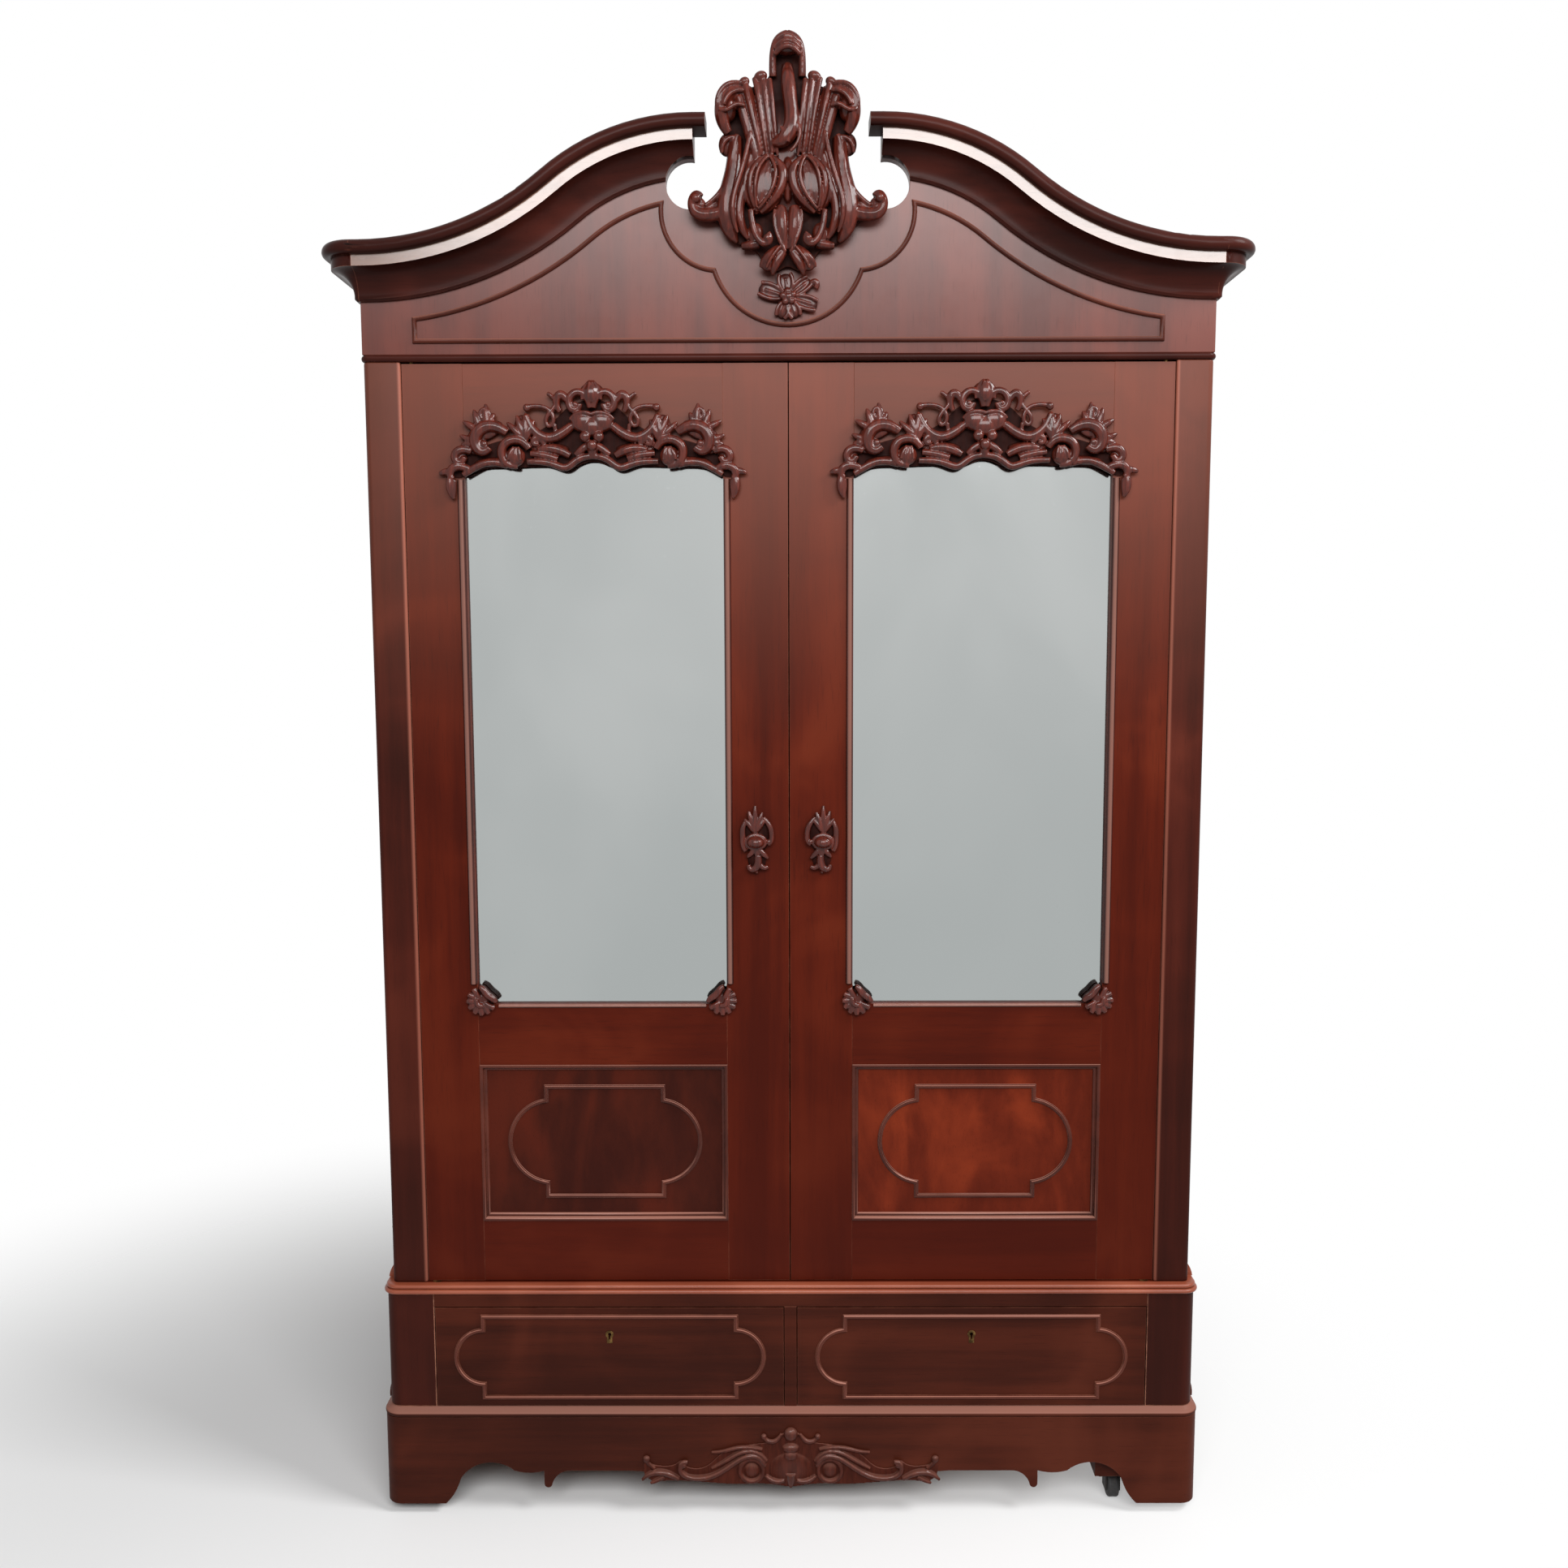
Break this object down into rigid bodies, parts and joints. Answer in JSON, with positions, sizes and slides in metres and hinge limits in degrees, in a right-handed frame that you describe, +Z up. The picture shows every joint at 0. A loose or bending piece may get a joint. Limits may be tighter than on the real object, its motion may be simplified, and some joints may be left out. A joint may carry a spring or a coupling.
{
  "type": "mirrored wardrobe",
  "caption": "Carved mahogany wardrobe with a swan-neck pediment and crest, mirrored hinged doors over sliding drawers, a shaped apron and small hidden casters",
  "frame": {"origin": "on the floor, under the middle of the overall box", "axes": "+Z up, the doors face -Y, +X is the viewer's right when facing the doors"},
  "size_m": [1.624, 0.622, 2.687],
  "materials": {
    "mahogany": "french polished, satin gloss",
    "carved_mahogany": "carved, polished highlights",
    "inner_wood": "plain, waxed",
    "mirror_glass": "old silvered plate",
    "rail_brass": "aged",
    "lock_brass": "dull, aged",
    "bolt_steel": "worn",
    "caster_iron": "dark, worn",
    "caster_wheel": "dull black"
  },
  "bodies": {
    "carcase": {"plinth_front": "mahogany", "plinth_moulding": "mahogany", "case_posts": "mahogany", "case_rails": "mahogany", "wardrobe_floor": "mahogany", "ledge_moulding": "mahogany", "corner_posts": "mahogany", "side_panels": "mahogany", "head_rail": "mahogany", "carcase_top": "mahogany", "frieze_board": "mahogany", "pediment_sides": "mahogany", "crown_moulding": "mahogany", "cove_moulding": "mahogany", "frieze_panel_bead": "mahogany", "plinth_sides": "mahogany", "drawer_bed": "inner_wood", "case_sides": "mahogany", "back_boards": "inner_wood", "hat_shelf": "inner_wood", "rail_cleats": "inner_wood", "apron_carving": "carved_mahogany", "crest_carving": "carved_mahogany", "crest_flower": "carved_mahogany", "hanging_rail": "rail_brass", "caster_brackets": "caster_iron"},
    "left_door": {"left_door_stiles": "mahogany", "left_door_rails": "mahogany", "left_door_panels": "mahogany", "left_mirror_bead": "mahogany", "left_panel_mouldings": "mahogany", "left_mirror": "mirror_glass", "left_door_carvings": "carved_mahogany", "left_door_pull": "carved_mahogany", "left_door_fittings": "lock_brass"},
    "right_door": {"right_door_stiles": "mahogany", "right_door_rails": "mahogany", "right_door_panels": "mahogany", "right_mirror_bead": "mahogany", "right_panel_mouldings": "mahogany", "right_mirror": "mirror_glass", "right_door_carvings": "carved_mahogany", "right_door_pull": "carved_mahogany", "right_door_fittings": "lock_brass"},
    "left_drawer": {"left_drawer_front": "mahogany", "left_drawer_lock": "lock_brass", "left_drawer_box": "inner_wood"},
    "right_drawer": {"right_drawer_front": "mahogany", "right_drawer_lock": "lock_brass", "right_drawer_box": "inner_wood"},
    "wheel_front_left_body": {"wheel_front_left": "caster_wheel"},
    "wheel_front_right_body": {"wheel_front_right": "caster_wheel"},
    "wheel_back_left_body": {"wheel_back_left": "caster_wheel"},
    "wheel_back_right_body": {"wheel_back_right": "caster_wheel"},
    "left_drawer_bolt_body": {"left_drawer_bolt": "bolt_steel"},
    "right_drawer_bolt_body": {"right_drawer_bolt": "bolt_steel"},
    "left_upper_bolt_body": {"left_upper_bolt": "bolt_steel"},
    "left_lower_bolt_body": {"left_lower_bolt": "bolt_steel"},
    "right_lock_bolt_body": {"right_lock_bolt": "bolt_steel"}
  },
  "joints": [
    {"name": "left_door_swing", "type": "hinge", "parent": "carcase", "child": "left_door", "pos_m": [-0.6665, -0.239, 1.296], "axis": [0, 0, -1], "range_deg": [0, 110]},
    {"name": "right_door_swing", "type": "hinge", "parent": "carcase", "child": "right_door", "pos_m": [0.6665, -0.239, 1.296], "axis": [0, 0, 1], "range_deg": [0, 110]},
    {"name": "left_drawer_slide", "type": "slide", "parent": "carcase", "child": "left_drawer", "axis": [0, -1, 0], "range_m": [0, 0.39]},
    {"name": "right_drawer_slide", "type": "slide", "parent": "carcase", "child": "right_drawer", "axis": [0, -1, 0], "range_m": [0, 0.39]},
    {"name": "left_upper_bolt_slide", "type": "slide", "parent": "left_door", "child": "left_upper_bolt_body", "axis": [0, 0, 1], "range_m": [0, 0.016]},
    {"name": "left_lower_bolt_slide", "type": "slide", "parent": "left_door", "child": "left_lower_bolt_body", "axis": [0, 0, -1], "range_m": [0, 0.018]},
    {"name": "right_lock_bolt_slide", "type": "slide", "parent": "right_door", "child": "right_lock_bolt_body", "axis": [-1, 0, 0], "range_m": [0, 0.014]},
    {"name": "left_drawer_bolt_slide", "type": "slide", "parent": "left_drawer", "child": "left_drawer_bolt_body", "axis": [0, 0, 1], "range_m": [0, 0.012]},
    {"name": "right_drawer_bolt_slide", "type": "slide", "parent": "right_drawer", "child": "right_drawer_bolt_body", "axis": [0, 0, 1], "range_m": [0, 0.012]},
    {"name": "wheel_front_left_spin", "type": "hinge", "parent": "carcase", "child": "wheel_front_left_body", "pos_m": [-0.7, -0.211, 0.025], "axis": [1, 0, 0], "continuous": true},
    {"name": "wheel_front_right_spin", "type": "hinge", "parent": "carcase", "child": "wheel_front_right_body", "pos_m": [0.622, -0.211, 0.025], "axis": [1, 0, 0], "continuous": true},
    {"name": "wheel_back_left_spin", "type": "hinge", "parent": "carcase", "child": "wheel_back_left_body", "pos_m": [-0.69, 0.252, 0.025], "axis": [1, 0, 0], "continuous": true},
    {"name": "wheel_back_right_spin", "type": "hinge", "parent": "carcase", "child": "wheel_back_right_body", "pos_m": [0.69, 0.252, 0.025], "axis": [1, 0, 0], "continuous": true}
  ]
}
